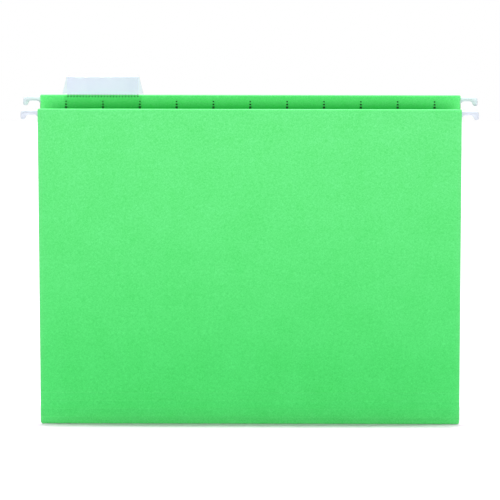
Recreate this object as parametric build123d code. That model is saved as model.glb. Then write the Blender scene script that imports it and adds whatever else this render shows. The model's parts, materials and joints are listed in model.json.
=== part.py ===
from build123d import *
import math
import os

# Hanging file folder: one scored card sheet with two covers, a steel rod with coated hooks in each top fold,
# and a clear index tab with its label in the slots of the rear cover.
# Millimetres and degrees. X runs along the rods, -Y is the front cover's side, +Z is up, and the origin is the
# middle of the four hook seats, level with the tops of the rails that the folder hangs on.

# Card sheet
SHEET_WIDTH = 298.5
PANEL_HEIGHT = 235.0
CARD = 0.28
TOP_GAP = 50.0
FLAP_DEPTH = 25.0
FLAP_TAPER = 2.0

# Scored base
FIRST_SCORE = 4.4
SCORE_PITCH = 6.2
SCORE_COUNT = 4
SCORE_WIDTH = 0.7
SCORE_DEPTH = 0.1
BASE_CORNER = 1.6

# Bottom fold: half the space between the covers there, the bent card's radius, and its clearance when it turns
FOLD_HALF = 0.3
FOLD_BEAD = 0.5
FOLD_CLEAR = 0.08

# Hanger rod
ROD_THICK = 0.9
ROD_HEIGHT = 6.9
ROD_PLAY = 0.05
ROD_TOP_DROP = 0.35
ARM_STEP = 1.0
ARM_HEIGHT = 2.3
ARM_ARCH = 2.4
ARM_ROOT = 1.0
HOOK_REACH = 12.0
HOOK_DROP = 6.4
TIP_TOP = 3.1
TIP_END = 2.2
TIP_ROUND = 0.95
NOTCH_ROUND = 1.0
SHOULDER_ROUND = 1.9

# Plastic coat of a hook
COAT = 0.35
COAT_CLEAR = 0.2

# Slots punched in the flap: three perforations over the rod and a longer slot for a tab's foot below it
SLOT_PITCH = 26.15
SLOT_MARGIN = 15.0
SLOT_WIDTH = 1.4
PERF_HEIGHT = 1.2
PERF_PITCH = 2.15
PERF_FIRST = 3.8
PERF_COUNT = 3
FOOT_SLOT_TOP = 9.6
FOOT_SLOT_HEIGHT = 4.4

# Glued end of the flap
JOGGLE_TOP = 16.0
JOGGLE_HEIGHT = 2.6
JOGGLE_ROUND = 1.2
GLUE = 0.1
GLUE_INSET = 6.0
GLUE_MARGIN = 0.5

# Clear index tab
TAB_SLOT = 1
TAB_WALL = 0.3
TAB_TOP_WIDTH = 51.5
TAB_FOOT_WIDTH = 58.0
TAB_RISE = 13.2
TAB_CORNER = 1.2
TAB_CLEAR = 0.05
TAB_LINE_DROP = 0.5
TAB_LINE_GAP = 0.1
TAB_BACK_CLEAR = 0.9
TONGUE_WIDTH = 55.0
TONGUE_DEPTH = 15.4
TONGUE_CORNER = 3.0
PUNCH_COUNT = 24
PUNCH_PITCH = 2.15
PUNCH_DIAMETER = 0.9
FOOT_WIDTH = 1.0
FOOT_HEIGHT = 3.2
FOOT_BARB = 1.2
FOOT_THICK = 0.35

# Label
LABEL_WIDTH = 50.5
LABEL_THICK = 0.2
LABEL_CLEAR = 0.1
LABEL_FOOT = 0.9
LABEL_HEADROOM = 0.4

# Lean of each cover away from upright
LEAN = math.degrees(math.asin(TOP_GAP / 2 / PANEL_HEIGHT))

# Places in a cover's own frame: upright, rear side, with the bottom fold's axis at y = 0 and z = 0
SHEET_INNER = FOLD_HALF
SHEET_MID = SHEET_INNER + CARD / 2
SHEET_FOOT = math.sqrt((FOLD_BEAD + FOLD_CLEAR) ** 2 - FOLD_HALF**2)
SLEEVE = ROD_THICK + 2 * ROD_PLAY
FOLD_RADIUS = (SLEEVE + CARD) / 2
FOLD_CENTRE_Z = PANEL_HEIGHT - FOLD_RADIUS - CARD / 2
ROD_Y = SHEET_MID - FOLD_RADIUS
FLAP_MID = SHEET_MID - 2 * FOLD_RADIUS
FLAP_FACE = FLAP_MID - CARD / 2
GLUED_MID = SHEET_MID - CARD - GLUE
FLAP_END = PANEL_HEIGHT - FLAP_DEPTH
JOGGLE_START = PANEL_HEIGHT - JOGGLE_TOP
JOGGLE_END = JOGGLE_START - JOGGLE_HEIGHT

# Rod and hook levels, of the bare steel
EDGE = SHEET_WIDTH / 2
ROD_TOP = PANEL_HEIGHT - CARD - ROD_TOP_DROP
ROD_FOOT = ROD_TOP - ROD_HEIGHT
ARM_TOP = ROD_TOP - ARM_STEP
ARM_FOOT = ARM_TOP - ARM_HEIGHT
TIP_FOOT = ARM_TOP + COAT - HOOK_DROP + COAT
ROD_END = EDGE + HOOK_REACH - COAT
SEAT_Z = ARM_FOOT - COAT

# Columns of slots that the sheet's width leaves room for
SLOT_COUNT = int((SHEET_WIDTH - 2 * SLOT_MARGIN) / SLOT_PITCH) + 1

# Tab levels
TAB_X = (TAB_SLOT - (SLOT_COUNT - 1) / 2) * SLOT_PITCH
TAB_FRONT = FLAP_FACE - TAB_CLEAR - TAB_WALL / 2
TAB_SPACE = LABEL_THICK + 2 * LABEL_CLEAR
TAB_BEND = (TAB_SPACE + TAB_WALL) / 2
TAB_LINE = PANEL_HEIGHT - TAB_LINE_DROP
TAB_TOP = PANEL_HEIGHT + TAB_RISE

# How far the hook seats stand above the bottom fold once the covers lean
SEAT_LEVEL = SEAT_Z * math.cos(math.radians(LEAN)) - ROD_Y * math.sin(math.radians(LEAN))


def stand(shape, side):
    """Lean a piece with its cover, rear for side 1 and front for side -1, and set the seats at the origin."""
    if side < 0:
        shape = shape.mirror(Plane.XZ)
    return Pos(0, 0, -SEAT_LEVEL) * Rot(-side * LEAN, 0, 0) * shape


def along_x(section, width):
    """Extrude a section drawn on the YZ plane to the given width, centred on x = 0."""
    return extrude(section, amount=width / 2, dir=(1, 0, 0), both=True)


def through_y(outline, y, depth):
    """Extrude an outline drawn on the XZ plane to a plate of the given depth, centred on y."""
    return Pos(0, y, 0) * extrude(outline, amount=depth / 2, dir=(0, 1, 0), both=True)


def slot_places():
    """The x of each column of slots."""
    return [(i - (SLOT_COUNT - 1) / 2) * SLOT_PITCH for i in range(SLOT_COUNT)]


def card_section():
    """Section of a cover: up the sheet, round the rod's sleeve, and down the flap to its glued end."""
    sheet = Line((SHEET_MID, SHEET_FOOT), (SHEET_MID, FOLD_CENTRE_Z))
    fold = ThreePointArc(
        (SHEET_MID, FOLD_CENTRE_Z),
        (ROD_Y, FOLD_CENTRE_Z + FOLD_RADIUS),
        (FLAP_MID, FOLD_CENTRE_Z),
    )
    flap = FilletPolyline(
        (FLAP_MID, FOLD_CENTRE_Z),
        (FLAP_MID, JOGGLE_START),
        (GLUED_MID, JOGGLE_END),
        (GLUED_MID, FLAP_END),
        radius=JOGGLE_ROUND,
    )
    return Plane.YZ * trace(sheet + fold + flap, CARD)


def flap_slots():
    """Cutters for every slot, each just deep enough for the flap."""
    depth = CARD + 2 * ROD_PLAY
    cutters = []
    for x in slot_places():
        for i in range(PERF_COUNT):
            z = PANEL_HEIGHT - PERF_FIRST - i * PERF_PITCH
            cutters.append(Pos(x, FLAP_MID, z) * Box(SLOT_WIDTH, depth, PERF_HEIGHT))
        z = PANEL_HEIGHT - FOOT_SLOT_TOP - FOOT_SLOT_HEIGHT / 2
        cutters.append(Pos(x, FLAP_MID, z) * Box(SLOT_WIDTH, depth, FOOT_SLOT_HEIGHT))
    return cutters


def flap_taper():
    """Cutters that slope the flap's two ends inwards, clear of the sheet behind it."""
    corner = (EDGE, FOLD_CENTRE_Z)
    past = EDGE + FLAP_TAPER
    outline = make_face(Polyline(corner, (EDGE - FLAP_TAPER, FLAP_END), (past, FLAP_END), (past, corner[1]), corner))
    depth = SHEET_INNER - GLUE / 2 - FLAP_FACE + CARD
    wedge = through_y(Plane.XZ * outline, FLAP_FACE - CARD + depth / 2, depth)
    return [wedge, wedge.mirror(Plane.YZ)]


def score_grooves():
    """Cutters for the score lines pressed into the outer face of the base."""
    grooves = []
    for i in range(SCORE_COUNT):
        place = Pos(0, SHEET_MID + CARD / 2, FIRST_SCORE + i * SCORE_PITCH)
        grooves.append(place * Box(SHEET_WIDTH, 2 * SCORE_DEPTH, SCORE_WIDTH))
    return grooves


def panel():
    """One cover: scored base, sheet, top fold and slotted flap in one piece of card."""
    card = along_x(card_section(), SHEET_WIDTH)
    card = fillet(card.edges().filter_by(Axis.Y).group_by(Axis.Z)[0], BASE_CORNER)
    return card - score_grooves() - flap_slots() - flap_taper()


def bottom_fold():
    """The bent card at the bottom of the V, a bead along the fold."""
    bead = Rot(0, 90, 0) * Cylinder(FOLD_BEAD, SHEET_WIDTH - 2 * BASE_CORNER)
    return Pos(0, 0, -SEAT_LEVEL) * bead


def rod_outline():
    """Face view of a rod: a tall middle in the sleeve, stepped arms past the card, and hooks that drop at the ends."""
    root = EDGE - ARM_ROOT
    half = [
        (root - 2 * ARM_STEP, ROD_TOP, ARM_STEP),
        (root, ARM_TOP, ARM_STEP),
        (ROD_END, ARM_TOP, SHOULDER_ROUND),
        (ROD_END, TIP_FOOT, TIP_ROUND),
        (ROD_END - TIP_END, TIP_FOOT, TIP_ROUND),
        (ROD_END - TIP_TOP, ARM_FOOT, NOTCH_ROUND),
        (root, ARM_FOOT, ARM_ARCH),
        (root, ROD_FOOT, ARM_STEP),
    ]
    whole = half + [(-x, z, r) for x, z, r in reversed(half)]
    points = [(x, z) for x, z, r in whole]
    radii = [r for x, z, r in whole]
    return Plane.XZ * make_face(FilletPolyline(*points, radius=radii, close=True))


def hanger_rod():
    """A flat steel rod with its two hooked ends."""
    return through_y(rod_outline(), ROD_Y, ROD_THICK)


def hook_tip(hand):
    """The plastic coat of one hook, right for hand 1 and left for hand -1: the rod's end grown by the coat."""
    grown = through_y(offset(rod_outline(), COAT), ROD_Y, ROD_THICK + 2 * COAT)
    start = EDGE + COAT_CLEAR
    reach = HOOK_REACH + COAT
    height = PANEL_HEIGHT
    window = Pos(hand * (start + reach / 2), ROD_Y, PANEL_HEIGHT) * Box(reach, 2 * FOLD_RADIUS + 2 * COAT, height)
    return (grown & window) - hanger_rod()


def flap_glue():
    """The glue between the flap's lower end and the sheet."""
    top = JOGGLE_END - JOGGLE_ROUND - GLUE_MARGIN
    foot = FLAP_END + GLUE_MARGIN
    place = Pos(0, SHEET_INNER - GLUE / 2, (top + foot) / 2)
    return place * Box(SHEET_WIDTH - 2 * GLUE_INSET, GLUE, top - foot)


def punches():
    """Cutters for the tab's perforated bend line."""
    first = TAB_X - (PUNCH_COUNT - 1) / 2 * PUNCH_PITCH
    hole = Rot(90, 0, 0) * Cylinder(PUNCH_DIAMETER / 2, 2 * TAB_WALL)
    return [Pos(first + i * PUNCH_PITCH, TAB_FRONT, TAB_LINE) * hole for i in range(PUNCH_COUNT)]


def tab_window():
    """The tab's clear window, bent double at the top, with sides that spread towards the bend line."""
    foot = TAB_LINE + TAB_LINE_GAP
    bend_z = TAB_TOP - TAB_WALL / 2 - TAB_BEND
    back = TAB_FRONT + 2 * TAB_BEND
    front_wall = Line((TAB_FRONT, foot), (TAB_FRONT, bend_z))
    bend = ThreePointArc((TAB_FRONT, bend_z), (TAB_FRONT + TAB_BEND, bend_z + TAB_BEND), (back, bend_z))
    back_wall = Line((back, bend_z), (back, PANEL_HEIGHT + TAB_BACK_CLEAR))
    walls = along_x(Plane.YZ * trace(front_wall + bend + back_wall, TAB_WALL), TAB_FOOT_WIDTH)
    half = [(TAB_FOOT_WIDTH / 2, foot), (TAB_TOP_WIDTH / 2, TAB_TOP)]
    corners = half + [(-x, z) for x, z in reversed(half)]
    outline = FilletPolyline(*corners, radius=[0, TAB_CORNER, TAB_CORNER, 0], close=True)
    shape = through_y(Plane.XZ * make_face(outline), TAB_FRONT + TAB_BEND, 4 * (TAB_BEND + TAB_WALL))
    return Pos(TAB_X, 0, 0) * (walls & shape) - punches()


def tab_foot():
    """One barbed foot: through its slot and down behind the flap."""
    top = PANEL_HEIGHT - FOOT_SLOT_TOP - (FOOT_SLOT_HEIGHT - FOOT_HEIGHT) / 2
    front = TAB_FRONT + TAB_WALL / 2
    behind = FLAP_MID + CARD / 2 + ROD_PLAY
    stem_depth = behind + FOOT_THICK - front
    stem = Pos(0, front + stem_depth / 2, top - FOOT_HEIGHT / 2) * Box(FOOT_WIDTH, stem_depth, FOOT_HEIGHT)
    barb_height = FOOT_HEIGHT + FOOT_BARB
    barb = Pos(0, behind + FOOT_THICK / 2, top - barb_height / 2) * Box(FOOT_WIDTH, FOOT_THICK, barb_height)
    return stem + barb


def tab_tongue():
    """The tab's tongue on the flap, below the bend line, with a foot in the slot on each side of the tab's own."""
    top = TAB_LINE - TAB_LINE_GAP
    height = TONGUE_DEPTH - TAB_LINE_DROP - TAB_LINE_GAP
    plate = Pos(0, TAB_FRONT, top - height / 2) * Box(TONGUE_WIDTH, TAB_WALL, height)
    plate = fillet(plate.edges().filter_by(Axis.Y).group_by(Axis.Z)[0], TONGUE_CORNER)
    feet = [Pos(hand * SLOT_PITCH, 0, 0) * tab_foot() for hand in (-1, 1)]
    return Pos(TAB_X, 0, 0) * (plate + feet) - punches()


def label_insert():
    """The blank label that slides in the tab's window."""
    foot = PANEL_HEIGHT + LABEL_FOOT
    top = TAB_TOP - TAB_WALL - LABEL_HEADROOM
    place = Pos(TAB_X, TAB_FRONT + TAB_BEND, (foot + top) / 2)
    return place * Box(LABEL_WIDTH, LABEL_THICK, top - foot)


def folder():
    """Every node of the folder by name, in its place."""
    nodes = {"bottom_fold": bottom_fold()}
    for name, side in (("rear", 1), ("front", -1)):
        nodes[f"{name}_panel"] = stand(panel(), side)
        nodes[f"{name}_flap_glue"] = stand(flap_glue(), side)
        nodes[f"{name}_hanger_rod"] = stand(hanger_rod(), side)
        nodes[f"{name}_left_hook_tip"] = stand(hook_tip(-1), side)
        nodes[f"{name}_right_hook_tip"] = stand(hook_tip(1), side)
    nodes["tab_window"] = stand(tab_window(), 1)
    nodes["tab_tongue"] = stand(tab_tongue(), 1)
    nodes["label_insert"] = stand(label_insert(), 1)
    return nodes


os.makedirs("parts", exist_ok=True)
for node, shape in folder().items():
    export_step(shape, f"parts/{node}.step")
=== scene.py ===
import json
import math

import bpy
import numpy as np
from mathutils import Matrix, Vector


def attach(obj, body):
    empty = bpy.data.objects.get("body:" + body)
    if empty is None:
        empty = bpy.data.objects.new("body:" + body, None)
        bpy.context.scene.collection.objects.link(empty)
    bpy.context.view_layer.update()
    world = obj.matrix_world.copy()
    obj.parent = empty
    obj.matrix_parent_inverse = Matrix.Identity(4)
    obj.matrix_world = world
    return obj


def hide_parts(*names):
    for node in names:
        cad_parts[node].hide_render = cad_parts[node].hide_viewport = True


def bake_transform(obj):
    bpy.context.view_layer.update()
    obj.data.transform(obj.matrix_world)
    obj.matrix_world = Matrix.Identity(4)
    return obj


bl_info = {
    "name": "Hanging File Folder",
    "version": (1, 0, 0),
    "blender": (4, 5, 0),
    "location": "3D View > Sidebar > Folder",
    "description": "Dresses a hanging file folder: scored card, coated hooks, clear tab, label and stage",
    "category": "Object",
}

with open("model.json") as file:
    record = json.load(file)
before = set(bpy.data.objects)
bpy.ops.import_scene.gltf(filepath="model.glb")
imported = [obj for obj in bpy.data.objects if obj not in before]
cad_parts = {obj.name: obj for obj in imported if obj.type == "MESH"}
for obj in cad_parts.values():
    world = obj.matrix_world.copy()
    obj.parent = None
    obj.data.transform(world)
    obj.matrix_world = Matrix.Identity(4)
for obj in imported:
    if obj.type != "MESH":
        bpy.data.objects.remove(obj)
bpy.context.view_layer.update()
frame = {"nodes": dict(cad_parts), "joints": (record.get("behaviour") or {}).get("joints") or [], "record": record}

# Places from the frame, in metres
JOINTS = {joint["name"]: joint for joint in frame["joints"]}
MOUNTS = {mount["name"]: mount for mount in frame["record"]["mounts"]}
FOLD_AXIS = np.array(JOINTS["front_open"]["pos_m"])
LEAN = math.radians(90.0 - JOINTS["front_open"]["range_deg"][1])
SIDES = {"rear": 1, "front": -1}
HANDS = {"left": -1, "right": 1}


def turned(points, turn):
    """Points turned about x, from y towards z."""
    x, y, z = np.moveaxis(points, -1, 0)
    cos, sin = math.cos(turn), math.sin(turn)
    return np.stack([x, y * cos - z * sin, y * sin + z * cos], axis=-1)


def upright(points):
    """Points of the rear cover in its own frame: the lean about the fold axis is turned back."""
    return turned(points - FOLD_AXIS, LEAN)


def stand(points, side):
    """Points of a cover's own frame leaned about the fold axis, and mirrored in y for the front cover."""
    return turned(points, -LEAN) * (1, side, 1) + FOLD_AXIS


def upright_box(node):
    """Lowest and highest corner of a rear node in the cover's own frame."""
    vertices = frame["nodes"][node].data.vertices
    points = np.empty(len(vertices) * 3, np.float32)
    vertices.foreach_get("co", points)
    points = upright(points.reshape(-1, 3).astype(float))
    return points.min(axis=0), points.max(axis=0)


CARD_LOW, CARD_HIGH = upright_box("rear_panel")
GLUE_LOW, GLUE_HIGH = upright_box("rear_flap_glue")
HOOK_LOW, HOOK_HIGH = upright_box("rear_right_hook_tip")
WINDOW_LOW, WINDOW_HIGH = upright_box("tab_window")
TONGUE_LOW, TONGUE_HIGH = upright_box("tab_tongue")
LABEL_LOW, LABEL_HIGH = upright_box("label_insert")

# The card in a cover's own frame: y outwards from the fold axis, z up the sheet
EDGE = CARD_HIGH[0]
CARD_TOP = CARD_HIGH[2]
SHEET_FOOT = CARD_LOW[2]
CARD = CARD_HIGH[1] - GLUE_HIGH[1]
SHEET_MID = CARD_HIGH[1] - CARD / 2
FLAP_MID = CARD_LOW[1] + CARD / 2
GLUED_MID = GLUE_LOW[1] - CARD / 2
SLEEVE_MID = (SHEET_MID + FLAP_MID) / 2
FOLD_RADIUS = (SHEET_MID - FLAP_MID) / 2
FOLD_CENTRE = CARD_TOP - CARD / 2 - FOLD_RADIUS
SHEET_LENGTH = FOLD_CENTRE - SHEET_FOOT
FOLD_LENGTH = math.pi * FOLD_RADIUS
BEND_TURN = math.pi / 2 - LEAN
BEND_LENGTH = SHEET_FOOT + SHEET_MID * BEND_TURN
SEAT_Z = upright(np.array(MOUNTS["rear_right_hook_seat"]["pos_m"]))[2]
TAB_X = (WINDOW_LOW[0] + WINDOW_HIGH[0]) / 2

# Rows and columns of the card, and steps in from its cut edges, across a score and across a nick
SHEET_ROWS, FOLD_ROWS, JOGGLE_ROWS, LEAD_ROWS, BEND_ROWS = 58, 17, 9, 3, 13
COVER_COLUMNS, BEND_COLUMNS = 61, 41
EDGE_STEPS = np.array([0.0, 0.0003, 0.0007, 0.0013, 0.0022, 0.004])
SCORE_STEPS = np.array([-2.2, -1.4, -0.7, 0.0, 0.7, 1.4, 2.2])
NICK_STEPS = np.array([-1.0, -0.85, 0.85, 1.0])
FIT_REACH = 0.006

# Marks on the card: painted shade inside the sleeve, the crest's wear with a painted highlight, painted light up
# the sheet and along the bottom fold, and painted shade down the flap
SLEEVE_SHADE_RISE, SLEEVE_SHADE_INSET, SLEEVE_SHADE_REACH = 0.001, 0.002, 0.004
CREST_TURN, CREST_WEAR_AND_HIGHLIGHT = 0.7, 0.6
PAINTED_LIGHT_START, PAINTED_LIGHT_SHORT = 0.04, 0.005
FLAP_SHADE_REACH, FLAP_SHADE_LEAST = 0.0085, 0.18
INNER_FACE = np.array([0.0, 1.0])[:, None, None]

# A hook: points of each straight and each round of its rails, and round its section, then shares that
# say where the rails meet across the tip, how thin the tip ends and where it is closed
RAIL_POINTS = (7, 9)
SECTION_POINTS = 16
TIP_END, TIP_THIN, TIP_STOP = 0.55, 0.55, 0.125

# Rows and columns of the film and the label, where rows start and stop, and steps in from the film's
# edges and out from a hole
FRONT_ROWS, CORNER_ROWS, ROUND_ROWS, BACK_ROWS = 8, 7, 11, 7
TONGUE_ROWS, TONGUE_ROUND_ROWS, FOOT_ROWS, FOOT_COLUMNS = 7, 9, 7, 4
LABEL_ROWS, LABEL_COLUMNS = 9, 27
FILM_START, FRONT_STOP, CORNER_START, BACK_START = 0.0014, 0.0015, 0.0012, 0.002
FILM_STEPS = np.array([0.0, 0.0002, 0.0005, 0.001, 0.0018])
HOLE_STEPS = np.array([0.0, 0.4, 0.8, 1.0])
RIM_STEPS = np.array([0.5, 1.0])
# Strength of the painted shade round a punched hole
HOLE_SHADE_STRENGTH = 1.6
FOOT_RADIUS = 0.0004

# Lamps: name, its power in the settings, place, target, width and height
MIDDLE = (0.0, 0.0, FOLD_AXIS[2] / 2)
LAMPS = (
    ("key_lamp", "key", (0.0, -0.7, 0.22), MIDDLE, 1.4, 0.22),
    ("top_lamp", "top", (0.0, -0.115, 1.3), (0.0, -0.115, FOLD_AXIS[2]), 1.6, 0.05),
    ("back_lamp", "back", (0.0, 1.0, 1.3), (0.0, 1.0, FOLD_AXIS[2]), 2.4, 1.8),
    ("left_lamp", "side", (-1.1, -0.6, 0.1), MIDDLE, 0.5, 0.8),
    ("right_lamp", "side", (1.1, -0.6, 0.1), MIDDLE, 0.5, 0.8),
)
FLOOR_POINTS = 9
WHITE = (1.0, 1.0, 1.0, 1.0)

# Sockets of the colour Mix node, and the card's grain
MIX_FACTOR, MIX_FIRST, MIX_SECOND, MIX_RESULT = 0, 6, 7, 2
GRAIN_DARK, GRAIN_LIGHT = (0.6, 0.885, 0.65), (1.4, 1.115, 1.35)
FIBRE_STRETCH = (5.0, 1.0, 1.0)

# Decimals and lengths, in metres, below which points are one, and where a surface is sharp
DECIMALS, STILL = 8, 1e-7
SHARP_ANGLE = math.radians(40)


def setting(make, **kind):
    """A maker of settings of one kind."""

    def one(name, description, default):
        """A setting with its name, description and default."""
        return make(name=name, description=description, default=default, **kind)

    return one


# Kinds of settings that a user may change
length = setting(bpy.props.FloatProperty, min=0.0, precision=5, subtype="DISTANCE", unit="LENGTH")
colour = setting(bpy.props.FloatVectorProperty, min=0.0, max=1.0, size=3, subtype="COLOR")
angle = setting(bpy.props.FloatProperty, subtype="ANGLE")
power = setting(bpy.props.FloatProperty, min=0.0, unit="POWER")
share = setting(bpy.props.FloatProperty, min=0.0, soft_max=1.0)
ratio = setting(bpy.props.FloatProperty, min=0.0)
count = setting(bpy.props.IntProperty, min=1)


class FolderCardSettings(bpy.types.PropertyGroup):
    """Sizes and colours of the card sheet"""

    flap_depth: length("Flap depth", "How far the flap reaches down inside the cover", 0.025)
    flap_taper: length("Flap taper", "How far each end of the flap slopes in", 0.002)
    joggle_top: length("Joggle top", "Where the flap starts to step back to the sheet, below the top", 0.016)
    joggle_height: length("Joggle height", "Height of the step back to the sheet", 0.0026)
    corner_round: length("Corner round", "Radius of the corners at the bottom fold", 0.0019)
    nick_width: length("Nick width", "How far the ends of the top fold are rounded off along it", 0.0022)
    nick_height: length("Nick height", "How far down the card that round reaches", 0.0015)
    first_score: length("First score", "Height of the lowest score line above the fold", 0.0044)
    score_pitch: length("Score pitch", "Distance between score lines", 0.0062)
    score_count: count("Scores", "Score lines on each cover", 4)
    score_width: length("Score width", "Half width of a pressed score line", 0.0004)
    score_depth: length("Score depth", "How deep a score line is pressed", 0.0001)
    slot_count: count("Slot columns", "Columns of slots in a flap", 11)
    slot_pitch: length("Slot pitch", "Distance between columns of slots", 0.02615)
    slot_width: length("Slot width", "Width of the slot for a tab's foot", 0.0014)
    perf_first: length("First perforation", "Middle of the top perforation, below the top", 0.00475)
    perf_pitch: length("Perforation pitch", "Distance between perforations", 0.002)
    perf_small: length("Small perforation", "Height of the top perforation", 0.0009)
    perf_large: length("Large perforation", "Height of the lowest perforation", 0.0013)
    perf_shape: ratio("Perforation shape", "Width of a perforation over its height", 1.25)
    perf_count: count("Perforations", "Perforations in a column", 3)
    foot_slot_top: length("Foot slot top", "Top of the slot for a tab's foot, below the top", 0.0096)
    foot_slot_height: length("Foot slot height", "Height of the slot for a tab's foot", 0.0044)
    bow: length("Bow", "How far a cover sinks inwards in its middle", 0.0004)
    edge_wear: length("Edge wear", "Reach of the paler wear along the cut edges", 0.0011)
    # Painted light along the bottom fold
    fold_light: share("Fold light", "How much painted light lies along the bottom fold", 0.75)
    fold_reach: length("Fold reach", "How far up the cover that painted light reaches", 0.004)
    face: colour("Card", "Colour of the card low down", (0.072, 0.735, 0.15))
    # Painted light: a lighter copy of the card's colour, towards the top
    painted_light: colour("Card in painted light", "Colour of the card at its top, with painted light", (0.144, 0.96, 0.236))
    # Painted shade down the flap
    deep: colour("Flap shade", "Colour of the painted shade down the flap", (0.001, 0.36, 0.035))
    # Painted shade inside the sleeve
    sleeve: colour("Sleeve", "Colour of the painted shade inside the sleeve", (0.006, 0.05, 0.012))
    # Wear, with a painted highlight on the top fold's crest
    wear_and_highlight: colour("Wear and highlight", "Colour of the wear at edges and folds, and of the painted highlight on the top fold's crest", (0.3, 0.9, 0.42))


class FolderHookSettings(bpy.types.PropertyGroup):
    """Sizes and colours of the coated hooks, and colours of the rods and the glue"""

    shoulder: length("Shoulder", "Reach of the round over the outer top corner", 0.003)
    notch: length("Notch", "Reach of the round in the inner corner that the rail sits in", 0.0014)
    tip_width: length("Tip width", "Width of the tip at its end", 0.003)
    tip_root: length("Tip root", "Width of the tip where it leaves the arm", 0.0043)
    tip_cut: length("Tip cut", "Reach of the round at the outer corner of the tip's end", 0.0016)
    tip_round: length("Tip round", "Reach of the round at the inner corner of the tip's end", 0.0013)
    tuck: length("Tuck", "How far the thinned end of the coat reaches into the card", 0.0015)
    tuck_thick: length("Tuck thickness", "Thickness of the coat inside the card", 0.00095)
    flare: length("Flare", "How far the arm spreads downwards at the card", 0.002)
    flare_reach: length("Flare reach", "How far along the arm the spread is felt", 0.0006)
    edge_round: length("Edge round", "Radius along the edges of the coat", 0.0005)
    coat: colour("Coat", "Colour of the hook's coat", (0.74, 0.85, 0.9))
    # Painted shade on the coat: its colour and how much it darkens the tip, the root and the edges
    coat_shade: colour("Coat shade", "Colour of the painted shade on the coat", (0.42, 0.46, 0.52))
    tip_shade: share("Tip shade", "How much painted shade darkens the end of the tip", 0.3)
    root_shade: share("Root shade", "How much painted shade darkens the underside where it meets the card", 0.55)
    edge_shade: share("Edge shade", "How much painted shade darkens the upper and lower edges", 0.6)
    # The rod's dark steel is made darker still, as painted shade in the sleeve behind the slots
    steel: colour("Steel", "Colour of the rod: dark steel made darker still as painted shade behind the slots", (0.022, 0.03, 0.024))
    glue: colour("Glue", "Colour of the dry glue", (0.8, 0.78, 0.68))


class FolderTabSettings(bpy.types.PropertyGroup):
    """Sizes and colours of the clear tab and its label"""

    wall: length("Film", "Thickness of the clear film", 0.0003)
    top_width: length("Top width", "Width of the tab along its top", 0.0515)
    corner: length("Corner", "Radius of the tab's top corners", 0.0012)
    tongue_corner: length("Tongue corner", "Radius of the tongue's lower corners", 0.003)
    bulge: length("Bulge", "How far the film bulges away from the label", 0.00025)
    punch_count: count("Punches", "Holes along the bend line", 24)
    punch_pitch: length("Punch pitch", "Distance between holes along the bend line", 0.00215)
    punch_width: length("Punch width", "Width of a hole along the bend line", 0.0002)
    # Painted shade round each punched hole
    punch_rim: length("Punch rim", "Width of the painted shade round a hole", 0.0007)
    punch_drop: ratio("Punch drop", "How much further a rim reaches down the tongue than along it", 1.6)
    foot_width: length("Foot width", "Width of a foot", 0.001)
    foot_thick: length("Foot thickness", "Thickness of a foot", 0.00035)
    foot_rise: length("Foot rise", "How far a foot reaches down behind the flap", 0.0038)
    foot_top: length("Foot top", "Top of a foot in its slot, below the top of the card", 0.0103)
    label_foot: length("Label foot", "Lower edge of the label above the top of the card", 0.00003)
    label_thick: length("Label thickness", "Thickness of the label", 0.00009)
    label_gap: length("Label gap", "From the front film to the edge of the label", 0.00001)
    label_curl: length("Label curl", "How far the label curls forward in its middle", 0.00001)
    film: colour("Film tint", "Tint of the clear film", (0.9, 0.965, 0.975))
    lying: colour("Lying film", "Tint of the film where it lies on the card", (0.76, 0.85, 0.77))
    # Painted shade round the punched holes
    cut: colour("Hole shade", "Colour of the painted shade round a punched hole", (0.01, 0.07, 0.03))
    # Painted light: the label glows though it is no lamp
    glow: colour("Label glow", "Painted light that the label gives off", (0.14, 0.09, 0.2))
    paper: colour("Label", "Colour of the blank label", (0.88, 0.86, 0.97))


class FolderStageSettings(bpy.types.PropertyGroup):
    """The floor, the lamps and the camera"""

    elevation: angle("Elevation", "Height of the camera above the horizon", math.radians(12.77))
    azimuth: angle("Azimuth", "Turn of the camera to the folder's right", math.radians(0.5))
    distance: length("Distance", "From the camera to the bottom fold", 5.4)
    lens: bpy.props.FloatProperty(name="Lens", description="Focal length", default=545.0, unit="CAMERA")
    centre_height: length("Centre height", "Picture centre above the bottom fold, up the picture", 0.1233)
    floor_gap: length("Floor gap", "From the bottom fold down to the floor", 0.0001)
    floor_reach: length("Floor reach", "Half the width of the floor", 0.8)
    floor_back: length("Floor back", "How far the middle of the floor lies behind the folder", 0.25)
    floor: colour("Floor", "Colour of the floor", (0.94, 0.81, 0.93))
    ambient: share("Ambient", "Strength of the light from all round", 0.09)
    key: power("Key lamp", "Power of the lamp in front", 3.45)
    side: power("Side lamps", "Power of each lamp at the sides", 0.5)
    top: power("Top lamp", "Power of the narrow lamp overhead", 23.5)
    back: power("Back lamp", "Power of the lamp over the floor behind", 36.0)


def smooth(value):
    """A step from 0 to 1 that starts and ends level."""
    value = np.clip(value, 0.0, 1.0)
    return value * value * (3.0 - 2.0 * value)


def ordered(*parts):
    """All the values of several lists in rising order, each once."""
    return np.unique(np.round(np.concatenate([np.ravel(part) for part in parts]), DECIMALS))


def even_row(number, pitch):
    """Places at an even pitch, centred on 0."""
    return (np.arange(number) - (number - 1) / 2) * pitch


def nearest(values, places):
    """Distance from each value to the nearest of several places."""
    return np.abs(values[..., None] - places).min(axis=-1)


def corner_cut(past, radius):
    """How far a round corner cuts in, at points past the line where it starts: a quarter circle."""
    past = np.clip(past, 0.0, radius)
    return radius - np.sqrt(radius**2 - past**2)


def grid(x, y, z):
    """Points from x, y and z, each spread over the grid that they make together."""
    return np.stack(np.broadcast_arrays(x, y, z), axis=-1)


def cells(index):
    """The corners of each cell in a grid of point numbers, in order round it."""
    return np.stack([index[:-1, :-1], index[:-1, 1:], index[1:, 1:], index[1:, :-1]], axis=-1)


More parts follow.
